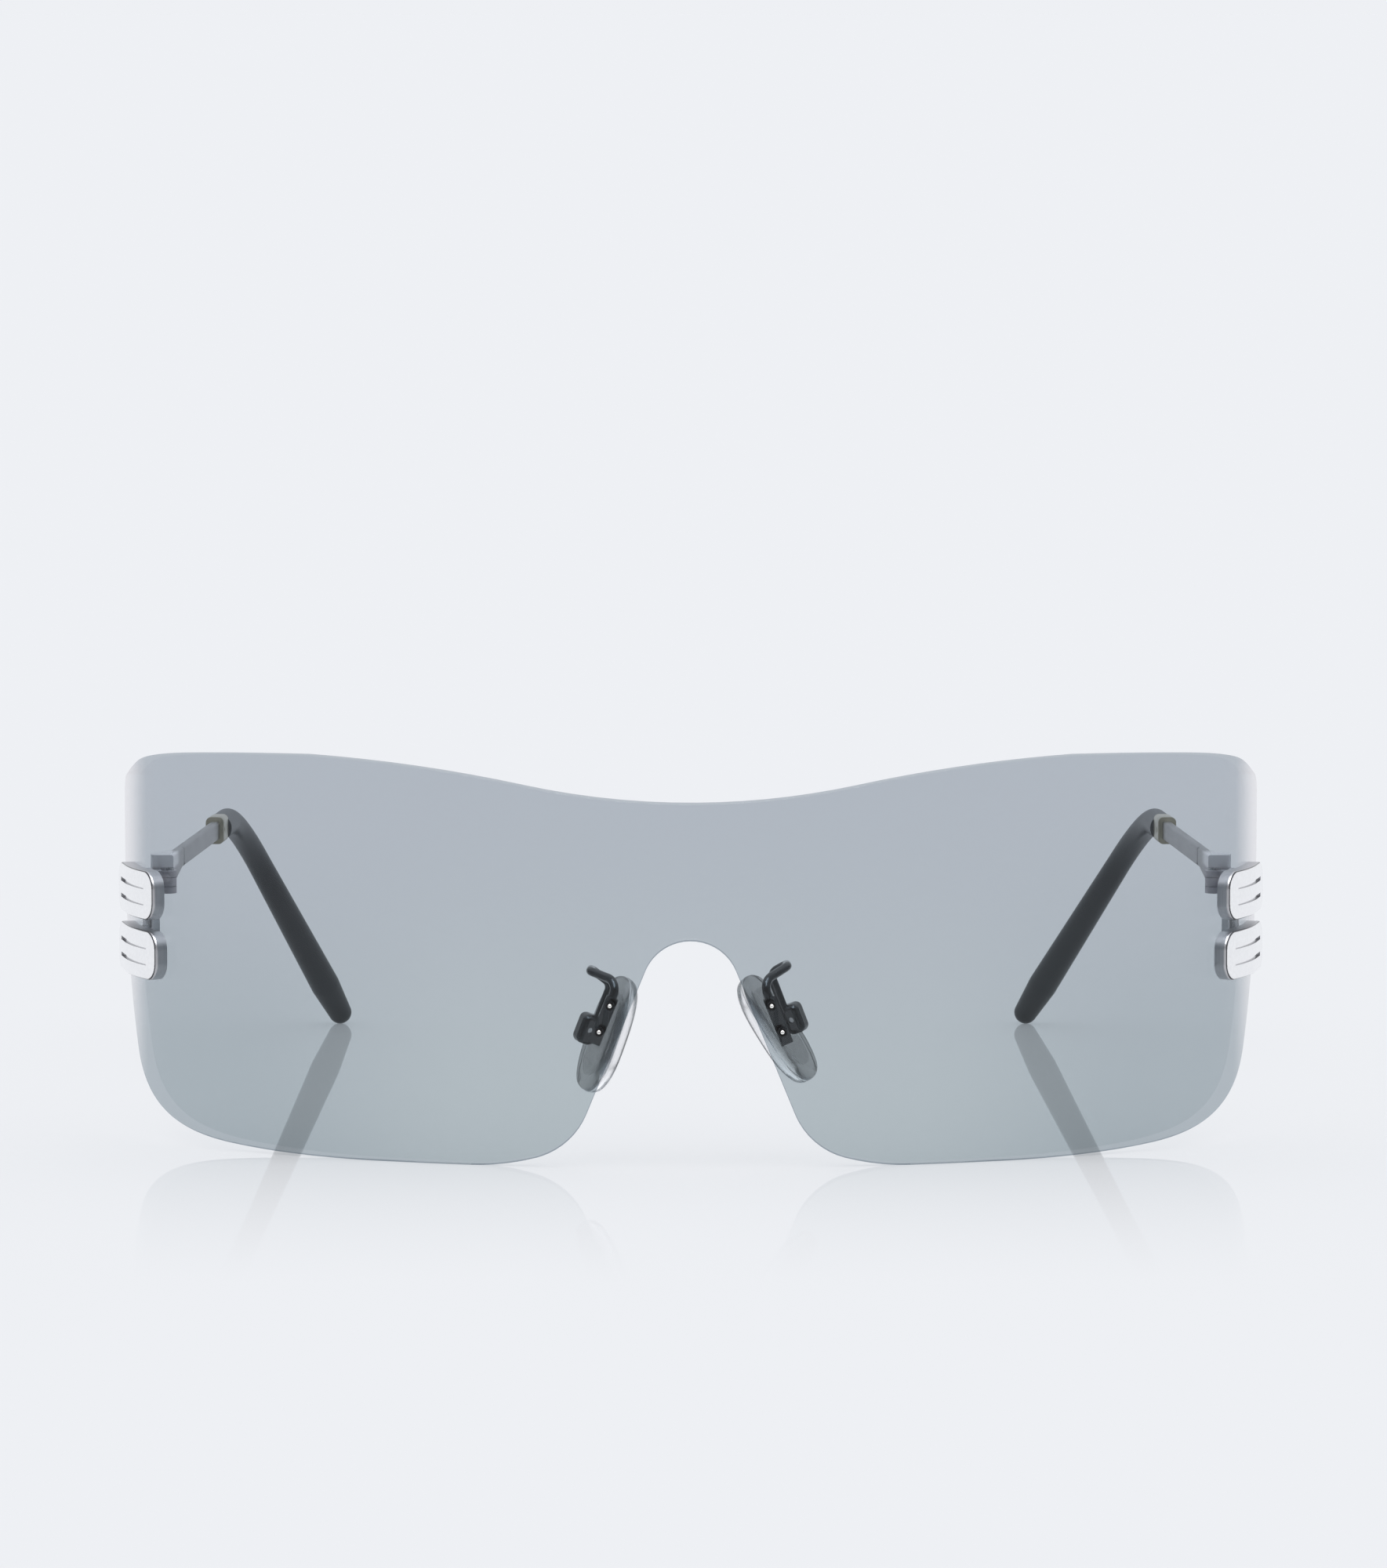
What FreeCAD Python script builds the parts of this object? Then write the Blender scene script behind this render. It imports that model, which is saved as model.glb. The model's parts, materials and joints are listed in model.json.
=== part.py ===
# Rimless shield sunglasses with a one-piece wrapped lens, in millimetres.
# X runs to the right as seen from in front, Y runs back towards the wearer and Z runs up.
# The glasses stand open on a table, on the lower edge of the lens and on the two temple tips.
# Depths are measured back from the foremost point of the lens until the pieces are written out.

import FreeCAD, Part
import math
import os

# Lens, seen from above
lens_thickness = 1.8
front_radius = 112.0
front_half_width = 57.0
corner_radius = 27.2
side_angle = 78.0
side_length = 11.2
lens_edge_radius = 0.25
sharp_edge_angle = 45.0

# Lens outline, seen from in front
lens_height = 50.0
top_dip = 5.1
top_valley_radius = 105.0
top_brow_radius = 162.0
notch_height = 28.0
notch_top_radius = 6.0
notch_slope = 22.2
notch_flare_radius = 9.4
foot_inner = 27.0
foot_radius = 30.0

# Lens outline, seen from the side
fall_start = 8.0
fall_radius = 115.0
rear_top_radius = 2.5
rise_start = 7.0
rise_radius = 40.0
rise_angle = 12.0
rear_bottom_radius = 36.0

# Two-tier metal plaque on each side of the lens
plaque_thickness = 1.7
plaque_front = 10.3
plaque_rear = 5.2
plaque_bottom = 20.35
tier_height = 6.15
tier_gap = 1.35
lower_tier_step = 0.6
plaque_corner_radius = 2.2
plaque_edge_radius = 0.35
groove_count = 2
groove_width = 0.5
groove_depth = 0.3
groove_end_margin = 2.4

# Hinge plate inside the lens, and the screws that clamp it to the plaque
hinge_plate_thickness = 1.0
hinge_plate_length = 8.2
hinge_plate_margin = 1.8
hinge_plate_corner = 1.0
plate_screw_radius = 0.6
plate_screw_clearance = 0.1
plate_screw_depth = 1.1
plate_screw_head_radius = 1.05
plate_screw_head_height = 0.5
plate_screw_offset = 1.4
screw_slot_width = 0.3
screw_slot_depth = 0.2

# Temple hinge
hinge_offset = 5.0
hinge_lift = 0.25
hinge_standoff = 1.75
barrel_radius = 1.15
knuckle_height = 0.85
eye_height = 1.1
knuckle_gap = 0.05
lug_width = 1.6
hinge_pin_radius = 0.5
pin_press_gap = 0.01
pin_running_gap = 0.05
hinge_head_radius = 0.85
hinge_head_height = 0.3

# Temple arm
arm_length = 60.7
arm_thickness = 1.2
arm_height = 2.4
arm_edge_radius = 0.25
arm_lift = 2.0
arm_drop = 2.0
toe_in = 2.63
shoulder_gap = 0.25
gusset_length = 13.0
heel_gap = 0.1
heel_length = 1.5
heel_taper = 4.0
mark_distance = 14.0
mark_width = 0.5
mark_depth = 0.3

# Ferrule between arm and tip
ferrule_length = 6.0
ferrule_wall = 0.6
ferrule_edge_radius = 0.7
ferrule_fit = 0.02
dimple_radius = 0.45
dimple_depth = 0.3
dimple_from_front = 1.6

# Temple tip and the arm's core wire inside it
tip_start_thickness = 3.3
tip_start_height = 3.6
tip_wide_radius = 2.0
tip_wide_from_end = 5.5
tip_end_radius = 1.6
tip_bend_radius = 18.0
bend_reach = 82.8
tip_end_reach = 104.85
tip_lean_left = 12.5
tip_lean_right = 14.8
core_radius = 0.55
core_fit = 0.03
core_end_gap = 5.0

# Nose plate riveted to the lens beside the notch
nose_plate_length = 6.2
nose_plate_width = 1.5
nose_plate_thickness = 0.8
nose_plate_inset = 2.4
nose_plate_drop = 7.8
rivet_radius = 0.34
rivet_fit = 0.02
rivet_hole_radius = 0.54
rivet_spacing = 3.5
rivet_shift = 0.45
rivet_proud = 0.1
rivet_head_radius = 0.65
rivet_head_height = 0.35

# Pad arm, a bent wire from the nose plate to the pad box
wire_radius = 0.55
wire_lens_gap = 0.06
wire_bend_radius = 1.25
wire_rise_radius = 1.75
wire_rise = 2.0
loop_out_left = 2.75
loop_out_right = 2.3
loop_up_left = 2.8
loop_up_right = 3.4
loop_back = 3.4
loop_gap = 2.6
stem_length = 4.4
stem_to_nose = 0.55
stem_to_lens = 0.8

# Pad box, screw and nose pad
pivot_out = 2.1
pivot_down_left = 1.9
pivot_down_right = 0.6
pivot_back = 7.2
box_lean = 21.0
pad_splay = 23.0
pad_rock_left = -1.0
pad_rock_right = 13.0
box_long = 3.8
box_wide = 2.6
box_deep = 2.4
box_edge_radius = 0.8
box_slot_roof = 0.65
box_slot_floor = 0.3
ear_thickness = 1.0
ear_side_gap = 0.05
ear_radius = 0.8
ear_neck = 1.5
pad_screw_radius = 0.35
pad_screw_recess = 0.2
pad_length = 15.0
pad_width = 7.4
pad_thickness = 3.0
pad_edge_radius = 1.2
pad_back_gap = 0.5
pad_core_length = 11.0
pad_core_width = 4.2
pad_core_thickness = 0.6
pad_core_cover = 0.4

# How far cutting shapes reach past what they cut
overshoot = 4.0

# How close a point must lie to a face to count as on it
edge_tolerance = 0.03


def vec(x, y, z):
    return FreeCAD.Vector(x, y, z)


UP = vec(0, 0, 1)
BACK = vec(0, 1, 0)

side_turn = math.radians(side_angle)
front_turn = math.asin(front_half_width / front_radius)
corner_centre = vec(
    (front_radius - corner_radius) * math.sin(front_turn),
    front_radius - (front_radius - corner_radius) * math.cos(front_turn),
    0,
)
side_direction = vec(math.cos(side_turn), math.sin(side_turn), 0)
side_outward = vec(math.sin(side_turn), -math.cos(side_turn), 0)


def front_point(turn, inset):
    """Point on the front arc of the lens, or inside it by the inset, where its line has turned so far."""
    reach = front_radius - inset
    return vec(reach * math.sin(turn), front_radius - reach * math.cos(turn), 0)


def corner_point(turn, inset):
    """Point on the corner arc of the lens, or inside it by the inset."""
    reach = corner_radius - inset
    return corner_centre + vec(reach * math.sin(turn), -reach * math.cos(turn), 0)


def side_point(distance, inset):
    """Point on the lens side, a distance back from the end of the corner arc along the outer face."""
    if distance < 0:
        return corner_point(side_turn + distance / corner_radius, inset)
    return corner_point(side_turn, inset) + side_direction * distance


def arc(start, middle, end):
    return Part.Arc(start, middle, end).toShape()


def line(start, end):
    return Part.makeLine(start, end)


def face_of(edges):
    return Part.Face(Part.Wire(Part.__sortEdges__(edges)))


def mirrored(shape):
    """The same piece on the other side of the glasses."""
    return shape.mirror(vec(0, 0, 0), vec(1, 0, 0))


def side_run(start, end, inset):
    """Edges along the lens side between two distances."""
    edges = []
    if start < 0:
        stop = min(end, 0)
        halfway = (start + stop) / 2
        edges.append(arc(side_point(start, inset), side_point(halfway, inset), side_point(stop, inset)))
    if end > 0:
        edges.append(line(side_point(max(start, 0), inset), side_point(end, inset)))
    return edges


def side_band(start, end, inset_out, inset_in, bottom, height):
    """Plate that follows the lens side, between two insets from its outer face."""
    edges = side_run(start, end, inset_out) + side_run(start, end, inset_in)
    for distance in (start, end):
        edges.append(line(side_point(distance, inset_out), side_point(distance, inset_in)))
    band = face_of(edges).extrude(UP * height)
    band.translate(UP * bottom)
    return band


def lens_band():
    """The lens seen from above, as a wall that is taller and longer than the lens."""
    edges = []
    ends = []
    for inset in (0, lens_thickness):
        front_ends = [front_point(turn, inset) for turn in (-front_turn, front_turn)]
        edges.append(arc(front_ends[0], front_point(0, inset), front_ends[1]))
        rear = side_point(side_length + overshoot, inset)
        ends.append(rear)
        half = [
            arc(
                corner_point(front_turn, inset),
                corner_point((front_turn + side_turn) / 2, inset),
                corner_point(side_turn, inset),
            ),
            line(side_point(0, inset), rear),
        ]
        edges += half + [mirrored(edge) for edge in half]
    rear_edge = line(ends[0], ends[1])
    edges += [rear_edge, mirrored(rear_edge)]
    band = face_of(edges).extrude(UP * (lens_height + 2 * overshoot))
    band.translate(UP * -overshoot)
    return band


# Where the notch flank leaves the notch's top arc, its downward line, and the way into the lens from it
slope = math.radians(notch_slope)
notch_centre = vec(0, 0, notch_height - notch_top_radius)
flank_into = vec(math.cos(slope), 0, math.sin(slope))
flank_down = vec(math.sin(slope), 0, -math.cos(slope))
flank_top = notch_centre + flank_into * notch_top_radius


def notch_edges():
    """Right half of the lens's lower edge, from the flat foot to the top of the nose notch."""
    foot_centre = vec(foot_inner, 0, foot_radius)
    start = flank_top + flank_into * notch_flare_radius - foot_centre
    along = start.dot(flank_down)
    reach = foot_radius - notch_flare_radius
    slide = -along + math.sqrt(along * along - start.dot(start) + reach * reach)
    flare_centre = foot_centre + start + flank_down * slide
    inward = (flare_centre - foot_centre).normalize()
    foot_end = foot_centre + inward * foot_radius
    flank_end = flare_centre - flank_into * notch_flare_radius
    foot_middle = foot_centre + (inward - UP).normalize() * foot_radius
    flare_middle = flare_centre + (inward - flank_into).normalize() * notch_flare_radius
    top_middle = notch_centre + (flank_into + UP).normalize() * notch_top_radius
    return [
        arc(vec(foot_inner, 0, 0), foot_middle, foot_end),
        arc(foot_end, flare_middle, flank_end),
        line(flank_end, flank_top),
        arc(flank_top, top_middle, vec(0, 0, notch_height)),
    ]


def front_outline():
    """The lens outline seen from in front, as a block that runs through the whole depth."""
    wave = math.acos(1 - top_dip / (top_valley_radius + top_brow_radius))
    wide = front_half_width + corner_radius + overshoot
    low = lens_height - top_dip
    valley_centre = vec(0, 0, low + top_valley_radius)
    brow_x = (top_valley_radius + top_brow_radius) * math.sin(wave)
    brow_centre = vec(brow_x, 0, lens_height - top_brow_radius)

    def valley(turn):
        return valley_centre + vec(math.sin(turn), 0, -math.cos(turn)) * top_valley_radius

    def brow(turn):
        return brow_centre + vec(-math.sin(turn), 0, math.cos(turn)) * top_brow_radius

    half = notch_edges() + [
        arc(valley(0), valley(wave / 2), valley(wave)),
        arc(brow(wave), brow(wave / 2), brow(0)),
        line(brow(0), vec(wide, 0, lens_height)),
        line(vec(wide, 0, lens_height), vec(wide, 0, 0)),
        line(vec(wide, 0, 0), vec(foot_inner, 0, 0)),
    ]
    outline = face_of(half + [mirrored(edge) for edge in half])
    block = outline.extrude(BACK * (lens_depth + 2 * overshoot))
    block.translate(BACK * -overshoot)
    return block


lens_depth = side_point(side_length, 0).y


def side_outline():
    """The lens outline seen from the side, as a block that runs through the whole width."""
    rise = math.radians(rise_angle)
    fall_centre = vec(0, fall_start, lens_height - fall_radius)
    top_y = lens_depth - rear_top_radius
    top_z = fall_centre.z + math.sqrt((fall_radius - rear_top_radius) ** 2 - (top_y - fall_start) ** 2)
    top_centre = vec(0, top_y, top_z)
    top_away = (top_centre - fall_centre).normalize()
    fall_end = fall_centre + top_away * fall_radius
    fall_middle = fall_centre + (top_away + UP).normalize() * fall_radius
    rear_top_middle = top_centre + (top_away + BACK).normalize() * rear_top_radius

    rise_centre = vec(0, rise_start, rise_radius)
    rise_end = rise_centre + vec(0, math.sin(rise), -math.cos(rise)) * rise_radius
    rise_middle = rise_centre + vec(0, math.sin(rise / 2), -math.cos(rise / 2)) * rise_radius
    rise_up = vec(0, -math.sin(rise), math.cos(rise))
    # The rear bottom corner leaves straight runs for the eased edge below it and above it
    room_below = lens_depth - rise_end.y - lens_edge_radius
    tall = top_z - rise_end.z - lens_edge_radius
    room_above = tall * math.cos(rise) - (lens_depth - rise_end.y) * math.sin(rise)
    low_radius = min(rear_bottom_radius, min(room_below, room_above) / (1 - math.sin(rise)))
    low_y = lens_depth - low_radius
    low_z = rise_end.z + (low_radius + math.sin(rise) * (low_y - rise_end.y)) / math.cos(rise)
    low_centre = vec(0, low_y, low_z)
    low_start = low_centre - rise_up * low_radius
    rear_bottom_middle = low_centre + (BACK - rise_up).normalize() * low_radius

    corners = [vec(0, rise_start, 0), vec(0, -overshoot, 0), vec(0, -overshoot, lens_height)]
    brow_end = vec(0, fall_start, lens_height)
    edges = [
        line(corners[0], corners[1]),
        line(corners[1], corners[2]),
        line(corners[2], brow_end),
        arc(brow_end, fall_middle, fall_end),
        arc(fall_end, rear_top_middle, vec(0, lens_depth, top_z)),
        line(vec(0, lens_depth, top_z), vec(0, lens_depth, low_z)),
        arc(vec(0, lens_depth, low_z), rear_bottom_middle, low_start),
        line(low_start, rise_end),
        arc(rise_end, rise_middle, corners[0]),
    ]
    wide = front_half_width + corner_radius + overshoot
    block = face_of(edges).extrude(vec(2 * wide, 0, 0))
    block.translate(vec(-wide, 0, 0))
    return block


# Heights of the plaque tiers and of the screws in their middles
tier_bottoms = {"lower": plaque_bottom, "upper": plaque_bottom + tier_height + tier_gap}
tier_fronts = {"lower": plaque_front + lower_tier_step, "upper": plaque_front}
screw_heights = [bottom + tier_height / 2 for bottom in tier_bottoms.values()]

# Hinge axis, inside the lens and the hinge plate
hinge_plate_inset = lens_thickness + hinge_plate_thickness
hinge_axis = side_point(hinge_offset, hinge_plate_inset + hinge_standoff)
hinge_height = max(screw_heights) + hinge_lift
eye_bottom = hinge_height - eye_height / 2
eye_top = hinge_height + eye_height / 2
knuckle_bottoms = [eye_bottom - knuckle_gap - knuckle_height, eye_top + knuckle_gap]


def plate_screw_axis(inset, height):
    point = side_point(plate_screw_offset, inset)
    return vec(point.x, point.y, height)


def plate_screw_hole(radius, inset_out, inset_in):
    """Straight holes through the lens side at the two screws, as solids to cut away."""
    holes = []
    for height in screw_heights:
        start = plate_screw_axis(inset_in, height)
        holes.append(Part.makeCylinder(radius, inset_in - inset_out, start, side_outward))
    return Part.makeCompound(holes)


def edges_where(shape, test):
    return [edge for edge in shape.Edges if test(edge)]


def outer_face_inset(point):
    """How far a point lies inside the lens side's outer face, measured square to it."""
    flat = vec(point.x, point.y, 0)
    if (flat - corner_point(side_turn, 0)).dot(side_direction) > 0:
        return -(flat - corner_point(side_turn, 0)).dot(side_outward)
    return corner_radius - (flat - corner_centre).Length


def plaque_tier(bottom, front):
    """One rounded bar of the plaque, with two long grooves in its face."""
    bar = side_band(-front, plaque_rear, -plaque_thickness, 0, bottom, tier_height)

    def crosses_thickness(edge):
        ends = [outer_face_inset(vertex.Point) for vertex in edge.Vertexes]
        level = abs(edge.Vertexes[0].Z - edge.Vertexes[-1].Z) < plaque_edge_radius
        return level and abs(abs(ends[0] - ends[-1]) - plaque_thickness) < plaque_edge_radius

    def on_outer_face(edge):
        depths = [outer_face_inset(point) + plaque_thickness for point in edge.discretize(3)]
        return max(abs(depth) for depth in depths) < edge_tolerance

    bar = bar.makeFillet(plaque_corner_radius, edges_where(bar, crosses_thickness))
    bar = bar.makeFillet(plaque_edge_radius, edges_where(bar, on_outer_face))
    pitch = tier_height / (groove_count + 1)
    for index in range(groove_count):
        groove = side_band(
            groove_end_margin - front,
            plaque_rear - groove_end_margin,
            -plaque_thickness - overshoot,
            groove_depth - plaque_thickness,
            bottom + pitch * (index + 1) - groove_width / 2,
            groove_width,
        )
        bar = bar.cut(groove)
    return bar.cut(plate_screw_hole(plate_screw_radius, -plate_screw_depth, lens_thickness))


def hinge_plate():
    """Plate on the inner face of the lens, with the two outer knuckles of the hinge."""
    bottom = min(screw_heights) - hinge_plate_margin
    height = max(screw_heights) + hinge_plate_margin - bottom
    plate = side_band(0, hinge_plate_length, lens_thickness, hinge_plate_inset, bottom, height)

    def crosses_thickness(edge):
        level = abs(edge.Vertexes[0].Z - edge.Vertexes[-1].Z) < hinge_plate_corner
        return level and abs(edge.Length - hinge_plate_thickness) < edge_tolerance

    plate = plate.makeFillet(hinge_plate_corner, edges_where(plate, crosses_thickness))
    across = side_direction * (lug_width / 2)
    for knuckle_bottom in knuckle_bottoms:
        foot = vec(hinge_axis.x, hinge_axis.y, knuckle_bottom)
        root = foot + side_outward * hinge_standoff
        corners = [foot - across, root - across, root + across, foot + across, foot - across]
        lug = Part.Face(Part.makePolygon(corners)).extrude(UP * knuckle_height)
        barrel = Part.makeCylinder(barrel_radius, knuckle_height, foot, UP)
        plate = plate.fuse([lug, barrel])
    bore_start = vec(hinge_axis.x, hinge_axis.y, knuckle_bottoms[0] - overshoot)
    bore_length = knuckle_bottoms[1] + knuckle_height - knuckle_bottoms[0] + 2 * overshoot
    plate = plate.cut(Part.makeCylinder(hinge_pin_radius + pin_press_gap, bore_length, bore_start, UP))
    hole_radius = plate_screw_radius + plate_screw_clearance
    return plate.cut(plate_screw_hole(hole_radius, 0, hinge_plate_inset + overshoot)).removeSplitter()


def slot_cut(centre, direction, across, radius, depth):
    """Straight driver slot across a screw head, cut from its top centre."""
    reach = across * (radius * 2)
    side = direction.cross(across).normalize() * (screw_slot_width / 2)
    start = centre - direction * depth
    corners = [start - reach - side, start + reach - side, start + reach + side, start - reach + side]
    outline = Part.makePolygon(corners + [corners[0]])
    return Part.Face(outline).extrude(direction * (depth + overshoot))


def plate_screws():
    """Screws through the hinge plate and lens into the plaque tiers."""
    screws = []
    for height in screw_heights:
        seat = plate_screw_axis(hinge_plate_inset, height)
        shank_length = hinge_plate_inset + plate_screw_depth
        shank = Part.makeCylinder(plate_screw_radius, shank_length, seat, side_outward)
        head = Part.makeCylinder(plate_screw_head_radius, plate_screw_head_height, seat, -side_outward)
        top = seat - side_outward * plate_screw_head_height
        slot = slot_cut(top, -side_outward, side_direction, plate_screw_head_radius, screw_slot_depth)
        screws.append(shank.fuse(head).cut(slot))
    return Part.makeCompound(screws)


def hinge_screw():
    """Pin of the temple hinge, with a slotted head on the upper knuckle."""
    bottom = vec(hinge_axis.x, hinge_axis.y, knuckle_bottoms[0])
    top = vec(hinge_axis.x, hinge_axis.y, knuckle_bottoms[1] + knuckle_height)
    pin = Part.makeCylinder(hinge_pin_radius, top.z - bottom.z, bottom, UP)
    head = Part.makeCylinder(hinge_head_radius, hinge_head_height, top, UP)
    slot = slot_cut(top + UP * hinge_head_height, UP, side_direction, hinge_head_radius, screw_slot_depth)
    return pin.fuse(head).cut(slot)


# The temple is laid out straight back from the hinge axis, with X outwards, and turned in afterwards
arm_start = vec(0, barrel_radius + shoulder_gap, hinge_height + arm_lift)
bend_corner = vec(0, bend_reach, arm_start.z - arm_drop)
arm_line = (bend_corner - arm_start).normalize()
arm_rise = arm_line.cross(vec(-1, 0, 0))
arm_end = arm_start + arm_line * (arm_length - arm_start.y)
ferrule_start = arm_end - arm_line * (ferrule_length / 2)
ferrule_end = arm_end + arm_line * (ferrule_length / 2)


class TipPath:
    """Middle line of a temple tip that leans in so far: on along the arm, round the bend and down."""

    def __init__(self, lean):
        self.end = vec(-lean, tip_end_reach, tip_end_radius)
        self.way = (self.end - bend_corner).normalize()
        turn = arm_line.getAngle(self.way)
        run = tip_bend_radius * math.tan(turn / 2)
        self.bend_start = bend_corner - arm_line * run
        self.bend_end = bend_corner + self.way * run
        inward = (self.way - arm_line * self.way.dot(arm_line)).normalize()
        out = arm_line * math.sin(turn / 2) - inward * math.cos(turn / 2)
        bend_middle = self.bend_start + (inward + out) * tip_bend_radius
        self.bend = arc(self.bend_start, bend_middle, self.bend_end)


def turned_in(shape):
    """Puts a temple piece on its hinge axis and turns it in by the toe-in."""
    shape.rotate(vec(0, 0, 0), UP, toe_in)
    shape.translate(hinge_axis)
    return shape


def bar_along_arm(start, length, thickness, height, edge_radius):
    """Flat bar along the temple arm with its long edges rounded."""
    across = vec(thickness / 2, 0, 0)
    rise = arm_rise * (height / 2)
    corners = [start - across - rise, start + across - rise, start + across + rise, start - across + rise]
    bar = Part.Face(Part.makePolygon(corners + [corners[0]])).extrude(arm_line * length)
    long_edges = edges_where(bar, lambda edge: abs(edge.Length - length) < edge_radius)
    return bar.makeFillet(edge_radius, long_edges)


def core_rod(tip, radius, end_gap):
    """Round wire from the arm's end round the bend, stopping short of the tip's end."""
    wire_end = tip.end - tip.way * end_gap
    path = Part.Wire([line(arm_end, tip.bend_start), tip.bend, line(tip.bend_end, wire_end)])
    section = Part.Wire(Part.makeCircle(radius, arm_end, arm_line))
    return path.makePipeShell([section], True, False)


def arm_heel():
    """Heel on the outer side of the arm's front, which meets the hinge plate and stops the open temple."""
    plate_turn = math.radians(90 - side_angle + toe_in)
    plate_away = vec(math.cos(plate_turn), -math.sin(plate_turn), 0)

    def beside_plate(y):
        return vec((hinge_standoff - heel_gap - plate_away.y * y) / plate_away.x, y, 0)

    heel_end = arm_start.y + heel_length
    corners = [
        vec(0, arm_start.y, 0),
        beside_plate(arm_start.y),
        beside_plate(heel_end),
        vec(arm_thickness / 2, heel_end + heel_taper, 0),
        vec(0, heel_end + heel_taper, 0),
    ]
    heel = Part.Face(Part.makePolygon(corners + [corners[0]])).extrude(UP * arm_height)
    heel.translate(UP * (arm_start.z - arm_height / 2))
    return heel


def temple_arm(tip):
    """Flat arm with the hinge eye and the heel at its front and the core wire behind it."""
    bar = bar_along_arm(arm_start, (arm_end - arm_start).Length, arm_thickness, arm_height, arm_edge_radius)
    eye = Part.makeCylinder(barrel_radius, eye_height, vec(0, 0, eye_bottom), UP)
    side = -arm_thickness / 2
    corners = [
        vec(side, 0, eye_bottom),
        vec(side, arm_start.y, eye_bottom),
        vec(side, gusset_length, arm_start.z - arm_height / 2),
        vec(side, gusset_length, arm_start.z),
        vec(side, arm_start.y, arm_start.z),
        vec(side, arm_start.y, eye_top),
        vec(side, 0, eye_top),
    ]
    gusset = Part.Face(Part.makePolygon(corners + [corners[0]])).extrude(vec(arm_thickness, 0, 0))
    arm = bar.fuse([eye, gusset, arm_heel(), core_rod(tip, core_radius, core_end_gap)])
    bore_length = eye_height + 2 * overshoot
    bore_start = vec(0, 0, eye_bottom - overshoot)
    arm = arm.cut(Part.makeCylinder(hinge_pin_radius + pin_running_gap, bore_length, bore_start, UP))
    mark_start = vec(-arm_thickness / 2 - overshoot, mark_distance, arm_start.z - arm_height)
    mark = Part.makeBox(overshoot + mark_depth, mark_width, 2 * arm_height, mark_start)
    return turned_in(arm.cut(mark).removeSplitter())


def ferrule(tip):
    """Collar that grips the arm's end and meets the tip, with a small dimple on its inner side."""
    thickness = arm_thickness + 2 * ferrule_wall
    height = arm_height + 2 * ferrule_wall
    collar = bar_along_arm(ferrule_start, ferrule_length, thickness, height, ferrule_edge_radius)
    socket_length = (arm_end - ferrule_start).Length + overshoot
    socket = bar_along_arm(
        arm_end - arm_line * socket_length,
        socket_length + ferrule_fit,
        arm_thickness + 2 * ferrule_fit,
        arm_height + 2 * ferrule_fit,
        arm_edge_radius,
    )
    collar = collar.cut(socket).cut(core_rod(tip, core_radius + core_fit, 0))
    dimple_at = ferrule_start + arm_line * dimple_from_front - vec(thickness / 2 - dimple_depth, 0, 0)
    return turned_in(collar.cut(Part.makeCylinder(dimple_radius, overshoot, dimple_at, vec(-1, 0, 0))))


def tip_section(tip, centre, along, half_height, half_thickness):
    """Oval across the tip: tall in the plane of the bend, thin across it."""
    tall = arm_line.cross(tip.way).normalize().cross(along).normalize()
    oval = Part.Ellipse(vec(0, 0, 0), half_height, half_thickness).toShape()
    oval.Placement = FreeCAD.Placement(centre, FreeCAD.Rotation(tall, along.cross(tall), along, "ZXY"))
    return Part.Wire(oval)


def temple_tip(tip):
    """Sleeve over the core wire: an even oval round the bend, then growing, and tapering to a round end."""
    half_height = tip_start_height / 2
    half_thickness = tip_start_thickness / 2
    bend_path = Part.Wire([line(ferrule_end, tip.bend_start), tip.bend])
    front = tip_section(tip, ferrule_end, arm_line, half_height, half_thickness)
    bend = bend_path.makePipeShell([front], True, False)
    narrow = tip_section(tip, tip.bend_end, tip.way, half_height, half_thickness)
    wide_at = tip.end - tip.way * tip_wide_from_end
    wide = tip_section(tip, wide_at, tip.way, tip_wide_radius, tip_wide_radius)
    end = tip_section(tip, tip.end, tip.way, tip_end_radius, tip_end_radius)
    shaft = Part.makeLoft([narrow, wide, end], True, True)
    cap = Part.makeSphere(tip_end_radius, tip.end, tip.way, 0, 90, 360)
    sleeve = bend.fuse([shaft, cap])
    return turned_in(sleeve.cut(core_rod(tip, core_radius + core_fit, core_end_gap - core_fit)))


# The nose plate follows the notch flank at a fixed inset from it
nose_plate_centre = flank_top + flank_down * nose_plate_drop + flank_into * nose_plate_inset
rivet_middle = nose_plate_centre - flank_down * rivet_shift
rivet_points = [rivet_middle + flank_down * (rivet_spacing * step) for step in (-0.5, 0.5)]


def front_depth(x, inset):
    """Depth of the lens front, or of a face inside it, at a distance from the middle."""
    reach = front_radius - inset
    return front_radius - math.sqrt(reach * reach - x * x)


def front_shell(inset_out, inset_in):
    """Part of a tube that follows the lens front between two insets."""
    base = vec(0, front_radius, -overshoot)
    height = lens_height + 2 * overshoot
    outer = Part.makeCylinder(front_radius - inset_out, height, base, UP)
    return outer.cut(Part.makeCylinder(front_radius - inset_in, height, base, UP))


def rivet_holes(radius):
    holes = []
    for point in rivet_points:
        start = vec(point.x, -overshoot, point.z)
        length = front_depth(point.x, hinge_plate_inset) + 2 * overshoot
        holes.append(Part.makeCylinder(radius, length, start, BACK))
    return Part.makeCompound(holes)


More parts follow.
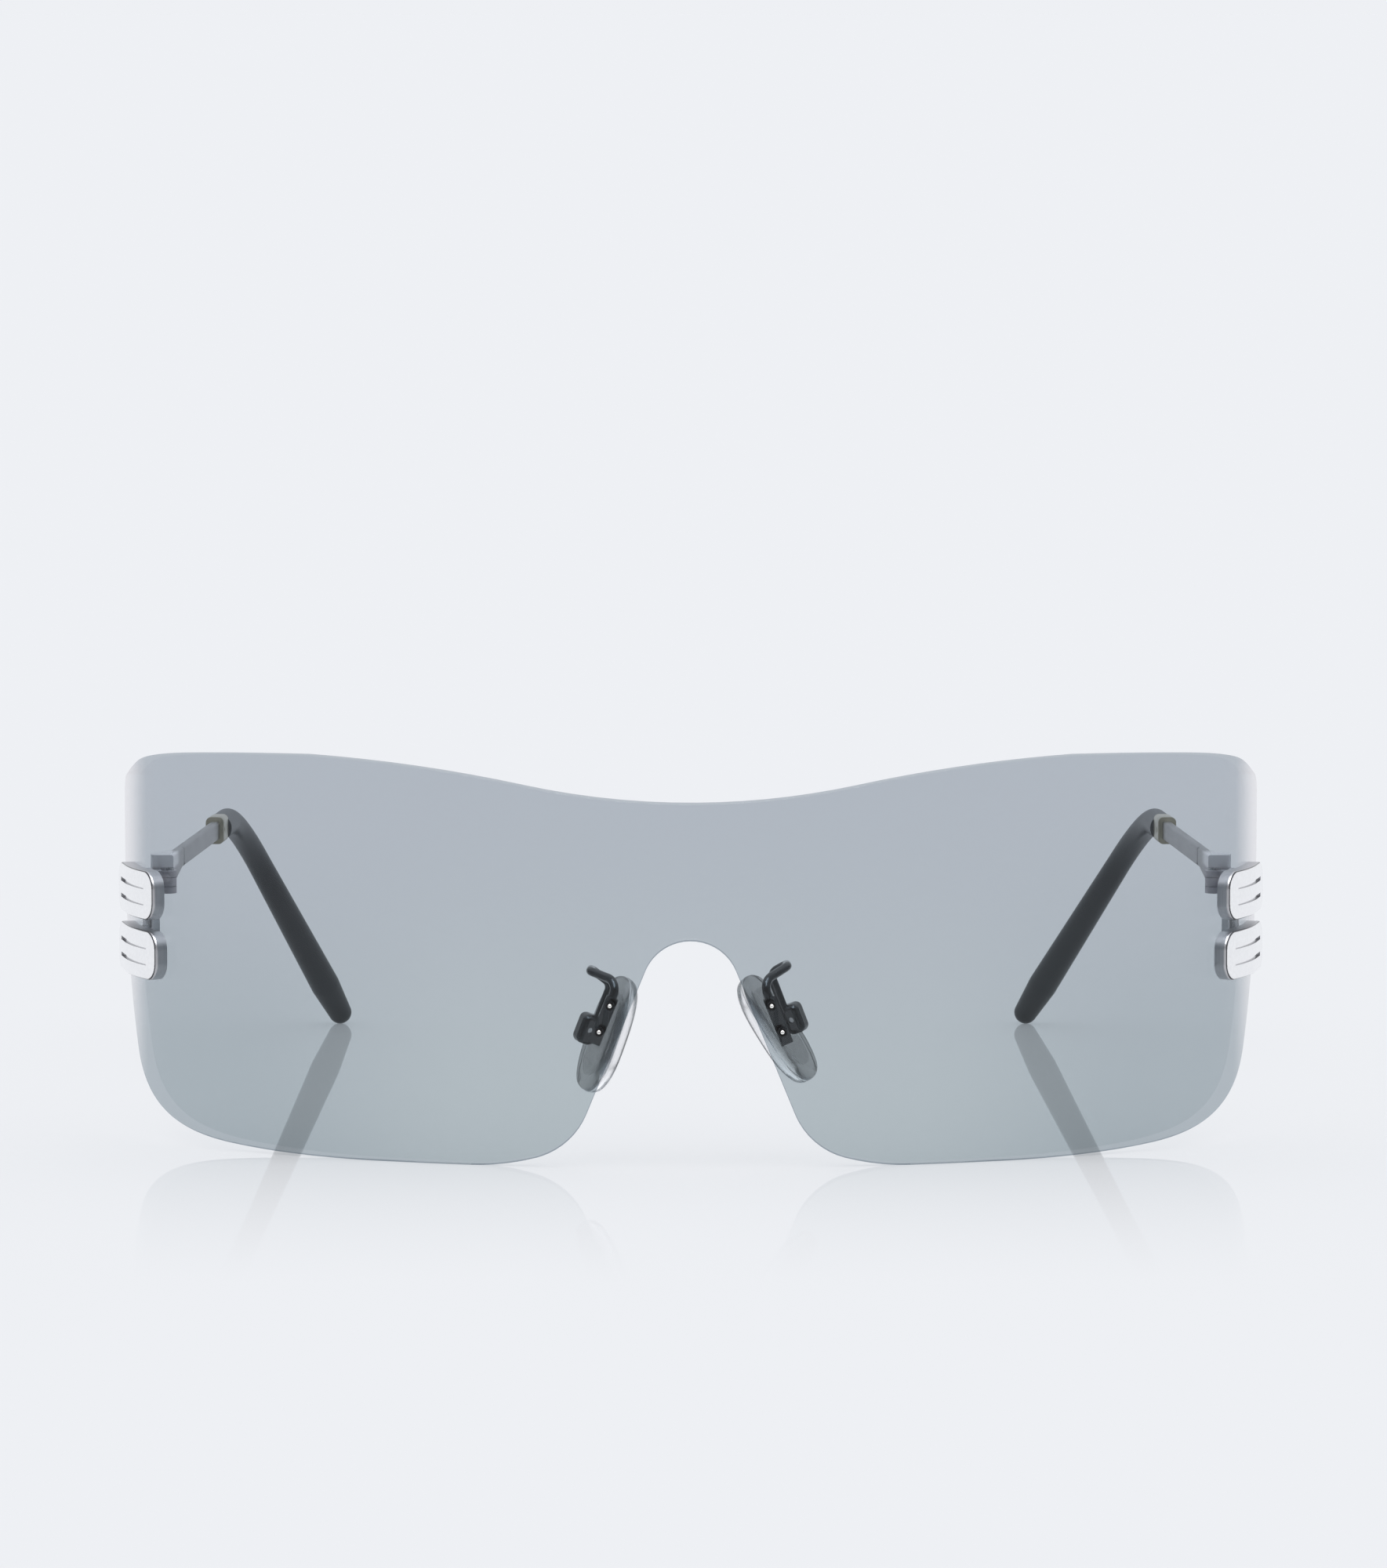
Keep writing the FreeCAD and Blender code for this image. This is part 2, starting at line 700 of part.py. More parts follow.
def nose_plate():
    """Small plate on the inner face of the lens beside the notch."""
    half_long = flank_down * (nose_plate_length / 2)
    half_wide = flank_into * (nose_plate_width / 2)
    middle = nose_plate_centre
    corners = [
        middle - half_long - half_wide,
        middle + half_long - half_wide,
        middle + half_long + half_wide,
        middle - half_long + half_wide,
    ]
    outline = Part.Face(Part.makePolygon(corners + [corners[0]]))
    depth = front_depth(nose_plate_centre.x, 0) + lens_thickness + overshoot
    plate = outline.extrude(BACK * depth)
    plate = plate.common(front_shell(lens_thickness, lens_thickness + nose_plate_thickness))
    return plate.cut(rivet_holes(rivet_radius + rivet_fit))


def rivet_sleeves():
    """Two short sleeves that line the rivet holes in the lens."""
    sleeves = rivet_holes(rivet_hole_radius - rivet_fit).cut(rivet_holes(rivet_radius + rivet_fit))
    return sleeves.common(front_shell(0, lens_thickness))


def nose_rivets():
    """Two rivets through lens and plate, with a domed end in front and a flat head behind."""
    rivets = []
    for point in rivet_points:
        dome = vec(point.x, front_depth(point.x, 0) + rivet_radius - rivet_proud, point.z)
        seat = front_depth(point.x + rivet_head_radius, lens_thickness + nose_plate_thickness)
        shank = Part.makeCylinder(rivet_radius, seat + rivet_head_height - dome.y, dome, BACK)
        front = Part.makeSphere(rivet_radius, dome, -BACK, 0, 90, 360)
        back_start = vec(point.x, front_depth(point.x, lens_thickness + nose_plate_thickness / 2), point.z)
        back_length = seat + rivet_head_height - back_start.y
        back = Part.makeCylinder(rivet_head_radius, back_length, back_start, BACK)
        rivets.append(shank.fuse([front, back.cut(front_shell(0, lens_thickness + nose_plate_thickness))]))
    return Part.makeCompound(rivets)


def rounded_path(points, radii):
    """Straight runs between the points, joined by tangent arcs of these radii."""
    edges = []
    start = points[0]
    for before, corner, after, radius in zip(points, points[1:], points[2:], radii):
        arriving = (corner - before).normalize()
        leaving = (after - corner).normalize()
        turn = arriving.getAngle(leaving)
        run = radius * math.tan(turn / 2)
        arc_start = corner - arriving * run
        arc_end = corner + leaving * run
        to_centre = (leaving - arriving).normalize()
        centre = corner + to_centre * (radius / math.cos(turn / 2))
        edges += [line(start, arc_start), arc(arc_start, centre - to_centre * radius, arc_end)]
        start = arc_end
    edges.append(line(start, points[-1]))
    return Part.Wire(edges)


# The pad box leans with the notch flank, and its screw points back and a little outwards
plate_back = front_depth(nose_plate_centre.x, lens_thickness + nose_plate_thickness)
box_tilt = math.radians(box_lean)
splay = math.radians(pad_splay)
inward = vec(-math.cos(box_tilt), 0, -math.sin(box_tilt))
box_up = vec(-math.sin(box_tilt), 0, math.cos(box_tilt))
screw_way = BACK * math.cos(splay) - inward * math.sin(splay)
nose_way = inward * math.cos(splay) + BACK * math.sin(splay)


def pad_pivot(down):
    """Middle of the screw that the pad turns on, so far below the middle of the nose plate."""
    return vec(nose_plate_centre.x + pivot_out, plate_back + pivot_back, nose_plate_centre.z - down)


def at_pivot(shape, pivot, rock):
    """Puts a piece made with X up the pad, Y along the screw and Z to the nose in place, rocked so far."""
    shape.rotate(vec(0, 0, 0), BACK, -rock)
    box_turn = FreeCAD.Rotation(box_up, screw_way, nose_way, "ZXY")
    shape.Placement = FreeCAD.Placement(pivot, box_turn).multiply(shape.Placement)
    return shape


def box_block():
    """The pad box before its slot and hole are cut."""
    block = Part.makeBox(box_long, box_wide, box_deep, vec(-box_long / 2, -box_wide / 2, -box_deep / 2))
    return block.makeFillet(box_edge_radius, block.Edges)


def pad_arm(pivot, loop_out, loop_up):
    """Bent wire that rises from the nose plate, loops back and comes down on the pad box."""
    top = nose_plate_centre - flank_down * (nose_plate_length / 2)
    start = vec(top.x, front_depth(top.x, lens_thickness + wire_lens_gap + wire_radius), top.z)
    first = start - flank_down * wire_rise
    loop_front = vec(start.x + loop_out, start.y + loop_back, start.z + loop_up)
    loop_rear = loop_front + BACK * loop_gap
    stem_middle = pivot + nose_way * stem_to_nose - screw_way * stem_to_lens
    stem_end = stem_middle + box_up * (box_long / 2 - box_edge_radius)
    stem_top = stem_middle + box_up * (box_long / 2 + stem_length)
    points = [start, first, loop_front, loop_rear, stem_top, stem_end]
    path = rounded_path(points, [wire_rise_radius] + [wire_bend_radius] * 3)
    section = Part.Wire(Part.makeCircle(wire_radius, start, -flank_down))
    wire = path.makePipeShell([section], True, False)
    return wire.cut(at_pivot(box_block(), pivot, 0))


def pad_box(pivot):
    """Rounded box on the wire's end, with a slot for the pad's ear and a hole for its screw."""
    box = box_block()
    slot_width = ear_thickness + 2 * ear_side_gap
    slot_long = box_long - box_slot_roof + overshoot
    slot_deep = box_deep - box_slot_floor + overshoot
    slot_start = vec(-box_long / 2 - overshoot, -slot_width / 2, box_slot_floor - box_deep / 2)
    box = box.cut(Part.makeBox(slot_long, slot_width, slot_deep, slot_start))
    hole_start = vec(0, -box_wide / 2 - overshoot, 0)
    hole = Part.makeCylinder(pad_screw_radius + pin_press_gap, box_wide + 2 * overshoot, hole_start, BACK)
    return at_pivot(box.cut(hole), pivot, 0)


def pad_screw(pivot):
    """Screw across the pad box, sunk a little below its faces."""
    start = vec(0, pad_screw_recess - box_wide / 2, 0)
    length = box_wide - 2 * pad_screw_recess
    return at_pivot(Part.makeCylinder(pad_screw_radius, length, start, BACK), pivot, 0)


def stadium(length, width, bottom, thickness):
    """Flat plate with round ends."""
    straight = length / 2 - width / 2
    half = width / 2
    edges = [
        line(vec(-straight, -half, bottom), vec(straight, -half, bottom)),
        arc(vec(straight, -half, bottom), vec(length / 2, 0, bottom), vec(straight, half, bottom)),
        line(vec(straight, half, bottom), vec(-straight, half, bottom)),
        arc(vec(-straight, half, bottom), vec(-length / 2, 0, bottom), vec(-straight, -half, bottom)),
    ]
    return face_of(edges).extrude(UP * thickness)


pad_back = box_deep / 2 + pad_back_gap
core_bottom = pad_back + pad_core_cover


def core_shape():
    """Stiff plate inside the pad with the ear that the pad turns on."""
    plate = stadium(pad_core_length, pad_core_width, core_bottom, pad_core_thickness)
    half = ear_thickness / 2
    eye = Part.makeCylinder(ear_radius, ear_thickness, vec(0, -half, 0), BACK)
    neck_height = core_bottom + pad_core_thickness / 2
    neck = Part.makeBox(ear_neck, ear_thickness, neck_height, vec(-ear_neck / 2, -half, 0))
    return plate.fuse([eye, neck])


def pad_core(pivot, rock):
    hole_start = vec(0, -overshoot, 0)
    hole = Part.makeCylinder(pad_screw_radius + pin_running_gap, 2 * overshoot, hole_start, BACK)
    return at_pivot(core_shape().cut(hole).removeSplitter(), pivot, rock)


def nose_pad(pivot, rock):
    """Clear soft pad moulded round its core."""
    pad = stadium(pad_length, pad_width, pad_back, pad_thickness)
    rims = edges_where(pad, lambda edge: abs(edge.Vertexes[0].Z - edge.Vertexes[-1].Z) < pad_edge_radius)
    pad = pad.makeFillet(pad_edge_radius, rims)
    return at_pivot(pad.cut(core_shape()), pivot, rock)


def with_eased_edges(lens):
    """The lens with the sharp edges of its cut outline rounded."""

    def sharp(edge):
        middle = edge.valueAt((edge.FirstParameter + edge.LastParameter) / 2)
        faces = lens.ancestorsOfType(edge, Part.Face)
        normals = [face.normalAt(*face.Surface.parameter(middle)) for face in faces]
        turn = math.degrees(normals[0].getAngle(normals[-1]))
        return sharp_edge_angle < turn < 180 - sharp_edge_angle

    return lens.makeFillet(lens_edge_radius, edges_where(lens, sharp))


def shield_lens():
    """The wrapped lens with its screw and rivet holes."""
    lens = with_eased_edges(lens_band().common(front_outline()).common(side_outline()).removeSplitter())
    hole_radius = plate_screw_radius + plate_screw_clearance
    side_holes = plate_screw_hole(hole_radius, -overshoot, lens_thickness + overshoot)
    for holes in (side_holes, rivet_holes(rivet_hole_radius)):
        lens = lens.cut(holes).cut(mirrored(holes))
    return lens.removeSplitter()


def side_pieces(pivot, rock, loop_out, loop_up, tip_lean):
    """The pieces of one side as on the right, with its pad's pivot and rock, wire loop and tip's lean."""
    tip = TipPath(tip_lean)
    pieces = {
        "hinge_plate": hinge_plate(),
        "plate_screws": plate_screws(),
        "hinge_screw": hinge_screw(),
        "temple_arm": temple_arm(tip),
        "ferrule": ferrule(tip),
        "temple_tip": temple_tip(tip),
        "nose_plate": nose_plate(),
        "rivet_sleeves": rivet_sleeves(),
        "nose_rivets": nose_rivets(),
        "pad_arm": pad_arm(pivot, loop_out, loop_up),
        "pad_box": pad_box(pivot),
        "pad_screw": pad_screw(pivot),
        "pad_core": pad_core(pivot, rock),
        "nose_pad": nose_pad(pivot, rock),
    }
    for tier, bottom in tier_bottoms.items():
        pieces["plaque_" + tier] = plaque_tier(bottom, tier_fronts[tier])
    return pieces


pivot_right = pad_pivot(pivot_down_right)
pivot_left = pad_pivot(pivot_down_left)
right_side = side_pieces(pivot_right, pad_rock_right, loop_out_right, loop_up_right, tip_lean_right)
left_side = side_pieces(pivot_left, pad_rock_left, loop_out_left, loop_up_left, tip_lean_left)

pieces = {"shield_lens": shield_lens()}
for name, shape in right_side.items():
    pieces[name + "_right"] = shape
for name, shape in left_side.items():
    pieces[name + "_left"] = mirrored(shape)

# The tips reach furthest back, so the middle of the depth lies halfway from the lens to their ends
tip_marks = [turned_in(Part.Vertex(TipPath(lean).end)) for lean in (tip_lean_left, tip_lean_right)]
overall_depth = max(mark.Point.y for mark in tip_marks) + tip_end_radius

os.makedirs("parts", exist_ok=True)
for name, shape in pieces.items():
    shape.translate(BACK * (-overall_depth / 2))
    shape.exportStep("parts/" + name + ".step")
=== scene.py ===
"""Looks of the shield sunglasses: finishes, soft nose pads, rivets, pale table and studio light."""

import json
import math

import bmesh
import bpy
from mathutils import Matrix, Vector


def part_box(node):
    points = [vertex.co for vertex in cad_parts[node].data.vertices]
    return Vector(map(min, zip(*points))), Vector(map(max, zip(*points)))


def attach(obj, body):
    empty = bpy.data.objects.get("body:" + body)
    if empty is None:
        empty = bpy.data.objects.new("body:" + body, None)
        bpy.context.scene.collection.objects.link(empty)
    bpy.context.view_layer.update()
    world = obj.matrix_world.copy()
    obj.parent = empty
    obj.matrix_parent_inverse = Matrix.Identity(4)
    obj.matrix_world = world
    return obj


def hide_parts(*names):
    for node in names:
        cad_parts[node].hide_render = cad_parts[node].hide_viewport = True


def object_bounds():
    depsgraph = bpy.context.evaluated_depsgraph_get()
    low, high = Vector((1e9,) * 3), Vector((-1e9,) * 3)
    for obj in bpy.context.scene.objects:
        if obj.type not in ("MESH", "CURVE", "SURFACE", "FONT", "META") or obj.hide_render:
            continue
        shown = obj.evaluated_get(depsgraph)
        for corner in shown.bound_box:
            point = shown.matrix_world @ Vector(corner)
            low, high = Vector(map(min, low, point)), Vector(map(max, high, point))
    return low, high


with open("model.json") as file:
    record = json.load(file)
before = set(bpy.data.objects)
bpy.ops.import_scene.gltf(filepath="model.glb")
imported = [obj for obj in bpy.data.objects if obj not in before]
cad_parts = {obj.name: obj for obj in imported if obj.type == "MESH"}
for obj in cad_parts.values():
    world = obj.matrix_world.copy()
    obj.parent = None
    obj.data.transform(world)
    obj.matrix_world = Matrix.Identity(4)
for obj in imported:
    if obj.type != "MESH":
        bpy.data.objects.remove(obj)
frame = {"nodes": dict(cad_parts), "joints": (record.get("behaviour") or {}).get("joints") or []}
cad_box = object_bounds()
nodes = frame["nodes"]
joints = {joint["name"]: joint for joint in frame["joints"]}

MM = 0.001
SIDES = ("left", "right")

# Camera, placed from the photo
camera_distance = 1000 * MM
camera_height = 143.1 * MM
camera_shift_side = 0.34 * MM
camera_pitch = math.radians(5.47)
camera_focal = 189.2
camera_sensor = 36
camera_clip_start = 10 * MM
camera_clip_end = 500

# Studio
studio_white = (0.855, 0.871, 0.904)
studio_dusk = (0.22, 0.225, 0.235)
overhead_boost = 0.5
panel_boost = 8.0
panel_way = (0.0, -0.52, 0.854)
panel_edge = (0.9, 0.95)

# Table, with its gloss measured from the front of the lens
table_half_size = 60.0
table_white = (0.314, 0.314, 0.314)
table_glow = 0.6
table_gloss = 0.78
table_gloss_front = 0.5
table_gloss_roughness = 0.02
gloss_reach = 90 * MM
gloss_fade = 1.26
gloss_full_depth = 20 * MM
gloss_back = (120 * MM, 300 * MM)

# Lens tints
lens_low_tint = (0.713, 0.753, 0.765)
lens_high_tint = (0.707, 0.734, 0.762)
lens_outer_tint = (0.667, 0.709, 0.727)
# The darker cut-edge tint is painted shade along the cut edge
lens_cut_painted_shade_tint = (0.50, 0.545, 0.575)
lens_light_edge_tint = (0.74, 0.765, 0.785)
lens_shine_tint = (1.0, 0.975, 0.975)
lens_shine = 0.015
lens_edge_on_shine = 0.5
lens_wrap_shine = 0.8

# Lens zones: heights, distances from the middle and depths between which a finish changes
lens_rise = (2 * MM, 48 * MM)
lens_top = (34 * MM, 38 * MM)
lens_outer = (25 * MM, 58 * MM)
lens_front_end = (48 * MM, 52 * MM)
lens_side = (60 * MM, 66 * MM)
lens_wrap = (67.6 * MM, 72.3 * MM)
lens_rear = (-44 * MM, -40 * MM)

# Side bars
chrome_bright = (0.95, 0.95, 0.955)
chrome_soft = (0.90, 0.90, 0.905)
# The near-black bevel line is a painted dark reflection, and the darker grey of the side walls is painted
# shade
chrome_painted_dark_reflection = (0.05, 0.052, 0.058)
chrome_wall_painted_shade_pale = (0.52, 0.52, 0.535)
chrome_wall_painted_shade_deep = (0.46, 0.46, 0.475)

# Arms and hinge plates, with the zones of the hinge, its barrel and the stop mark
steel_light = (0.76, 0.755, 0.75)
steel_dark = (0.62, 0.615, 0.61)
# The pale hinge colour is painted light
hinge_painted_light = (0.84, 0.83, 0.84)
barrel_steel = (0.46, 0.44, 0.46)
# The stop mark colour is painted shade
stop_mark_painted_shade = (0.12, 0.12, 0.12)
steel_gleam = (0.55, 0.55, 0.56, 1)
hinge_end = (-29 * MM, -23 * MM)
barrel_bottom = (29.3 * MM, 29.7 * MM)
barrel_top = (32.4 * MM, 33.0 * MM)
stop_mark_front = (-20.4 * MM, -19.4 * MM)
stop_mark_back = (-18.6 * MM, -17.6 * MM)
stop_mark_top = (31.6 * MM, 32.4 * MM)

# Temple tips and ferrules
tip_charcoal = (0.006, 0.010, 0.013)
# The paler tip colour high at the bend is painted light
tip_painted_light = (0.060, 0.066, 0.070)
tip_bend = (20 * MM, 34 * MM)
ferrule_light = (0.55, 0.53, 0.45)
# The dark ferrule colour is partly random tone and partly painted shade where the arm goes in
ferrule_dark_tone_and_painted_shade = (0.36, 0.34, 0.26)
ferrule_shade = 3.5 * MM

# Nose pad, measured on the pad's own axes
pad_length = 15.0 * MM
pad_width = 7.4 * MM
pad_thickness = 3.0 * MM
pad_squareness = 2.6
pad_taper = 0.05
pad_spokes = 64
# The smoky grey is partly the silicone's own tint and partly painted shade
pad_smoke_and_painted_shade = (0.20, 0.205, 0.205)
pad_clear = (0.95, 0.95, 0.96)
pad_clear_depth = (0.15, 0.55)

# Rings of the nose pad from its back to its nose face: share of the outline, share of the thickness
pad_rings = (
    (0.35, 0.00), (0.70, 0.00), (0.88, 0.01), (0.95, 0.06), (0.985, 0.16), (1.00, 0.30),
    (0.997, 0.38), (0.980, 0.41), (0.980, 0.45), (0.994, 0.48), (0.985, 0.58), (0.955, 0.71),
    (0.88, 0.84), (0.74, 0.93), (0.50, 0.985), (0.24, 1.00),
)

# Rivets of the nose plates
rivet_head_radius = 0.65 * MM
rivet_head_height = 0.35 * MM
rivet_shank_radius = 0.34 * MM
rivet_least_radius = 0.02 * MM
rivet_rings = 72
rivet_spokes = 32
rivet_sharp_edge = math.radians(40)


class Signal:
    """One output in a node tree. Sums and products of signals add Math nodes to that tree."""

    def __init__(self, tree, output=None):
        self.tree = tree
        self.output = output

    def node(self, kind, settings=None, inputs=None, output=0):
        """Adds any other node: its type, its settings, and the values or links of its sockets."""
        made = self.tree.nodes.new(kind)
        for name, value in (settings or {}).items():
            setattr(made, name, value)
        for key, value in (inputs or {}).items():
            if isinstance(value, Signal):
                self.tree.links.new(value.output, made.inputs[key])
            else:
                made.inputs[key].default_value = value
        return Signal(self.tree, made.outputs[output] if len(made.outputs) else None)

    def math(self, operation, *terms):
        return self.node("ShaderNodeMath", {"operation": operation}, dict(enumerate(terms)))

    def __add__(self, other):
        return self.math("ADD", self, other)

    def __sub__(self, other):
        return self.math("SUBTRACT", self, other)

    def __rsub__(self, other):
        return self.math("SUBTRACT", other, self)

    def __mul__(self, other):
        return self.math("MULTIPLY", self, other)

    def __truediv__(self, other):
        return self.math("DIVIDE", self, other)

    def __pow__(self, other):
        return self.math("POWER", self, other)

    def __abs__(self):
        return self.math("ABSOLUTE", self)

    __radd__ = __add__
    __rmul__ = __mul__

    def least(self, other):
        return self.math("MINIMUM", self, other)

    def most(self, other):
        return self.math("MAXIMUM", self, other)

    def between(self, low, high):
        """0 below low, 1 above high, smooth between them."""
        return self.node(
            "ShaderNodeMapRange",
            {"interpolation_type": "SMOOTHSTEP"},
            {"Value": self, "From Min": low, "From Max": high},
        )

    def blend(self, low, high):
        """A colour that goes from low to high with this signal."""
        ends = [colour if isinstance(colour, Signal) else (*colour, 1) for colour in (low, high)]
        # Sockets 6 and 7 are the colour inputs of a Mix node, and output 2 is its colour
        return self.node("ShaderNodeMix", {"data_type": "RGBA"}, {0: self, 6: ends[0], 7: ends[1]}, output=2)

    def axis(self, letter):
        return self.node("ShaderNodeSeparateXYZ", inputs={0: self}, output="XYZ".index(letter))

    def noise(self, scale, detail=2.0, roughness=0.5):
        return self.node(
            "ShaderNodeTexNoise",
            inputs={"Vector": self, "Scale": scale, "Detail": detail, "Roughness": roughness},
        )

    def stretched(self, scale):
        return self.node("ShaderNodeMapping", inputs={"Vector": self, "Scale": scale})

    def bump(self, distance):
        return self.node("ShaderNodeBump", inputs={"Height": self, "Distance": distance})

    def over(self, below, above):
        """Two surfaces mixed by this signal."""
        return self.node("ShaderNodeMixShader", inputs={0: self, 1: below, 2: above})

    def surface(self, **inputs):
        named = {name.replace("_", " "): value for name, value in inputs.items()}
        return self.node("ShaderNodeBsdfPrincipled", inputs=named)

    def clear(self, tint):
        return self.node("ShaderNodeBsdfTransparent", inputs={"Color": (*tint, 1)})

    def gloss(self, roughness, tint=(1, 1, 1)):
        return self.node("ShaderNodeBsdfGlossy", inputs={"Color": (*tint, 1), "Roughness": roughness})

    def facing(self):
        """0 seen square on, 1 seen edge on."""
        return self.node("ShaderNodeLayerWeight", inputs={"Blend": 0.5}, output="Facing")

    def place(self):
        return self.node("ShaderNodeTexCoord", output="Object")

    def normal(self):
        return self.node("ShaderNodeTexCoord", output="Normal")

    def show(self, surface):
        self.node("ShaderNodeOutputMaterial", inputs={"Surface": surface})


def new_material(name):
    """An empty material and the start of its signals."""
    material = bpy.data.materials.new(name)
    material.use_nodes = True
    material.node_tree.nodes.clear()
    return material, Signal(material.node_tree)


def metal(name, light, dark, roughness, grain, grain_scale, bump_height):
    """A metal finish whose colour, gloss and relief vary with one fine grain."""
    material, start = new_material(name)
    place = start.place()
    fine = place.noise(grain_scale, detail=4.0, roughness=0.6)
    broad = place.noise(grain_scale * 0.07)
    start.show(
        start.surface(
            Base_Color=broad.between(0.3, 0.7).blend(dark, light),
            Metallic=1.0,
            Roughness=roughness + grain * (fine - 0.5) + grain * (broad - 0.5),
            Normal=fine.bump(bump_height),
        )
    )
    return material


def bright_chrome():
    """Polished chrome of the side bars, with a painted dark reflection as a line round each face, and satin
    side walls whose darker grey is painted shade.
    """
    material, start = new_material("bright_chrome_finish")
    place = start.place()
    side = place.axis("X") / abs(place.axis("X"))
    outward = start.normal().axis("X") * side
    fine = place.noise(2200.0, detail=4.0, roughness=0.6)
    brushed = place.stretched((1, 1, 0.06)).noise(3000.0, detail=3.0)
    face = outward.between(0.62, 0.78)
    wall = 1 - outward.between(0.2, 0.45)
    polished = fine.between(0.3, 0.7).blend(chrome_soft, chrome_bright)
    # The walls' darker grey is painted shade, and the near-black bevel line between face and wall is a
    # painted dark reflection
    satin = brushed.between(0.2, 0.8).blend(chrome_wall_painted_shade_deep, chrome_wall_painted_shade_pale)
    body = wall.blend(chrome_painted_dark_reflection, satin)
    start.show(
        start.surface(
            Base_Color=face.blend(body, polished),
            Metallic=1.0,
            Roughness=0.05 + 0.03 * fine + 0.26 * wall,
            Normal=fine.bump(0.001 * MM),
        )
    )
    return material


def lens_tint():
    """Grey-blue lens: even clear tint, soft shine by viewing angle, a cut edge tinted darker as painted
    shade, pale wrapped sides.
    """
    material, start = new_material("lens_tint_finish")
    place = start.place()
    normal = start.normal()
    facing = start.facing()
    out = abs(place.axis("X"))
    up = place.axis("Z")

    rise = up.between(*lens_rise) + 0.3 * (place.noise(25.0) - 0.5)
    low_tint = out.between(*lens_outer).over(start.clear(lens_low_tint), start.clear(lens_outer_tint))
    tint = rise.over(low_tint, start.clear(lens_high_tint))

    # The cut edge runs along the top and the bottom, down the nose notch and up the rear
    level = abs(normal.axis("Z")).between(0.15, 0.4)
    notch = (1 - abs(normal.axis("Y")).between(0.35, 0.75)) * (1 - out.between(*lens_front_end))
    rear = normal.axis("Y").between(0.6, 0.75) * place.axis("Y").between(*lens_rear)
    cut = level.most(rear).most(notch)
    pale = out.between(*lens_side).most(up.between(*lens_top)).most(normal.axis("Z").between(0.05, 0.2))
    # Painted shade: the cut edge is tinted darker, except on the top, the sides and upward faces, which keep
    # a paler tint
    edge = pale.over(start.clear(lens_cut_painted_shade_tint), start.clear(lens_light_edge_tint))
    body = cut.over(tint, edge)

    wrap = out.between(*lens_wrap) * facing.between(0.45, 0.75)
    shine = (lens_shine + lens_edge_on_shine * facing ** 8.0) * (1 - 0.7 * cut)
    polish = 0.02 + 0.03 * place.noise(60.0)
    start.show(shine.most(lens_wrap_shine * wrap).over(body, start.gloss(polish, lens_shine_tint)))
    return material


def tip_sleeve():
    """Charcoal sleeve of the temple tips, smooth with a faint moulded grain, with painted light making it
    paler towards the top at the bend, and a faint random mottle.
    """
    material, start = new_material("tip_sleeve_finish")
    place = start.place()
    grain = place.noise(2600.0, detail=3.0)
    # Painted light: paler towards the top at the bend, with a faint random mottle
    painted_light_and_mottle = 0.2 * place.noise(120.0) + 0.8 * place.axis("Z").between(*tip_bend)
    start.show(
        start.surface(
            Base_Color=painted_light_and_mottle.blend(tip_charcoal, tip_painted_light),
            Roughness=0.3 + 0.12 * grain,
            Specular_IOR_Level=0.45,
            Normal=grain.bump(0.006 * MM),
        )
    )
    return material


def satin_steel():
    """Satin steel of the arms and hinge plates, drawn along the arm, softer at the hinge and paler there as
    painted light.

    Each arm has painted shade darkening its stop mark low on its side, and the barrel of each hinge is
    darker.
    """
    material, start = new_material("satin_steel_finish")
    place = start.place()
    depth = place.axis("Y")
    height = place.axis("Z")
    drawn = place.stretched((1, 0.06, 1)).noise(2200.0, detail=4.0, roughness=0.6)
    streaks = (0.5 * drawn + 0.5 * place.noise(90.0)).between(0.3, 0.7)

    # Painted light: the hinge zone is paler
    at_hinge = 1 - depth.between(*hinge_end)
    barrel = height.between(*barrel_bottom) * (1 - height.between(*barrel_top))
    # Painted shade: the stop mark is darkened
    mark = depth.between(*stop_mark_front) * (1 - depth.between(*stop_mark_back))
    mark = mark * (1 - height.between(*stop_mark_top))
    steel = at_hinge.blend(streaks.blend(steel_dark, steel_light), barrel.blend(hinge_painted_light, barrel_steel))
    start.show(
        start.surface(
            Base_Color=mark.blend(steel, stop_mark_painted_shade),
            Metallic=1 - 0.8 * at_hinge,
            Roughness=0.26 + 0.14 * drawn + 0.2 * at_hinge,
            Specular_Tint=steel_gleam,
            Normal=drawn.bump(0.003 * MM),
        )
    )
    return material


def ferrule_nickel():
    """Warm nickel of the ferrules, with painted shade making it darker where the arm goes in."""
    material, start = new_material("ferrule_nickel_finish")
    place = start.place()
    fine = place.noise(1500.0, detail=4.0)
    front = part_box("ferrule_left")[0].y
    # Painted shade darkens the front where the arm goes in, with random tone from the grain
    bright = 0.8 * place.axis("Y").between(front, front + ferrule_shade) + 0.4 * (fine - 0.3)
    start.show(
        start.surface(
            Base_Color=bright.blend(ferrule_dark_tone_and_painted_shade, ferrule_light),
            Metallic=0.6,
            Roughness=0.26 + 0.1 * fine,
            Normal=fine.bump(0.004 * MM),
        )
    )
    return material


def rivet_sleeve():
    """Black moulded sleeve round each rivet."""
    material, start = new_material("rivet_sleeve_finish")
    grain = start.place().noise(4000.0, detail=3.0)
    start.show(
        start.surface(
            Base_Color=grain.between(0.3, 0.7).blend((0.006, 0.006, 0.007), (0.012, 0.012, 0.013)),
            Roughness=0.45 + 0.2 * grain,
            Specular_IOR_Level=0.3,
            Normal=grain.bump(0.004 * MM),
        )
    )
    return material


